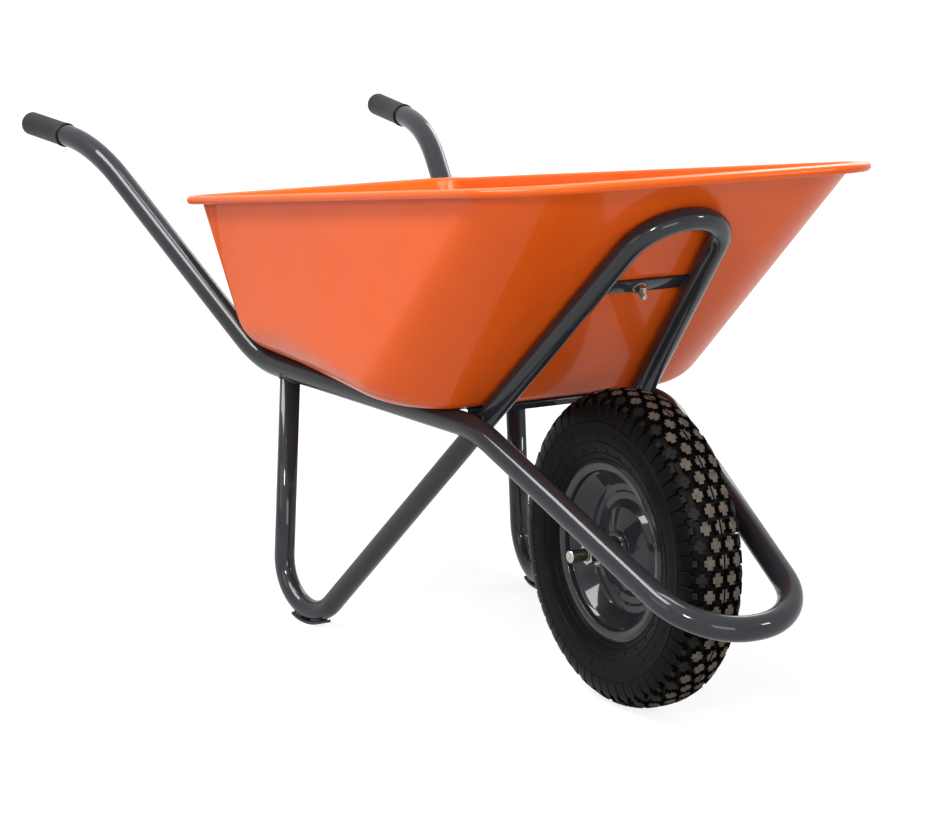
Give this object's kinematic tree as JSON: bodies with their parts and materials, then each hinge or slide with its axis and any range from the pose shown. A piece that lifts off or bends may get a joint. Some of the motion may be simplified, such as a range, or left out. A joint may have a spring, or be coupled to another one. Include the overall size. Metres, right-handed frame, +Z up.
{
  "type": "builder's wheelbarrow",
  "caption": "Wheelbarrow with an orange steel tray on a bent dark grey tube frame, a treaded air-filled front wheel between the frame arms, foot shoes and rubber grips.",
  "frame": {"origin": "on the ground under the middle of the wheelbarrow", "axes": "+X forward towards the wheel, +Y to the operator's left, +Z up; the wheel's axle lies along Y"},
  "size_m": [1.4714, 0.6288, 0.6857],
  "materials": {
    "frame_paint": "gloss dark grey powder coat",
    "tray_paint": "gloss orange enamel",
    "tyre_rubber": "matt black rubber",
    "inner_tube_rubber": "satin black butyl",
    "grip_rubber": "matt charcoal rubber",
    "bright_zinc": "bright zinc plating",
    "bearing_steel": "ground steel",
    "seal_black": "matt black",
    "valve_brass": "plain brass"
  },
  "bodies": {
    "frame": {"axle": "bright_zinc", "axle_bracket_left": "frame_paint", "axle_bracket_right": "frame_paint", "axle_nut_left": "bright_zinc", "axle_nut_right": "bright_zinc", "axle_spacer_left": "bright_zinc", "axle_spacer_right": "bright_zinc", "axle_washer_left": "bright_zinc", "axle_washer_right": "bright_zinc", "bearing_inner_left": "bearing_steel", "bearing_inner_right": "bearing_steel", "foot_shoe_left": "frame_paint", "foot_shoe_right": "frame_paint", "front_cross_channel": "frame_paint", "grip_left": "grip_rubber", "grip_right": "grip_rubber", "hoop_bolt": "bright_zinc", "hoop_cross_bar": "frame_paint", "hoop_nut": "bright_zinc", "hoop_washer": "bright_zinc", "main_frame_tube": "frame_paint", "rear_cross_channel": "frame_paint", "support_tube": "frame_paint", "tray": "tray_paint", "tray_bolt_front_left": "bright_zinc", "tray_bolt_front_right": "bright_zinc", "tray_bolt_rear_left": "bright_zinc", "tray_bolt_rear_right": "bright_zinc", "tray_nut_front_left": "bright_zinc", "tray_nut_front_right": "bright_zinc", "tray_nut_rear_left": "bright_zinc", "tray_nut_rear_right": "bright_zinc", "tray_washer_front_left": "bright_zinc", "tray_washer_front_right": "bright_zinc", "tray_washer_rear_left": "bright_zinc", "tray_washer_rear_right": "bright_zinc"},
    "wheel": {"bearing_outer_left": "seal_black", "bearing_outer_right": "seal_black", "hub_tube": "frame_paint", "inner_tube": "inner_tube_rubber", "rim_half_left": "frame_paint", "rim_half_right": "frame_paint", "tyre": "tyre_rubber", "valve_cap": "seal_black", "valve_stem": "valve_brass"}
  },
  "joints": [
    {"name": "wheel_spin", "type": "hinge", "parent": "frame", "child": "wheel", "pos_m": [0.463, 0, 0.2], "axis": [0, 1, 0], "continuous": true}
  ]
}
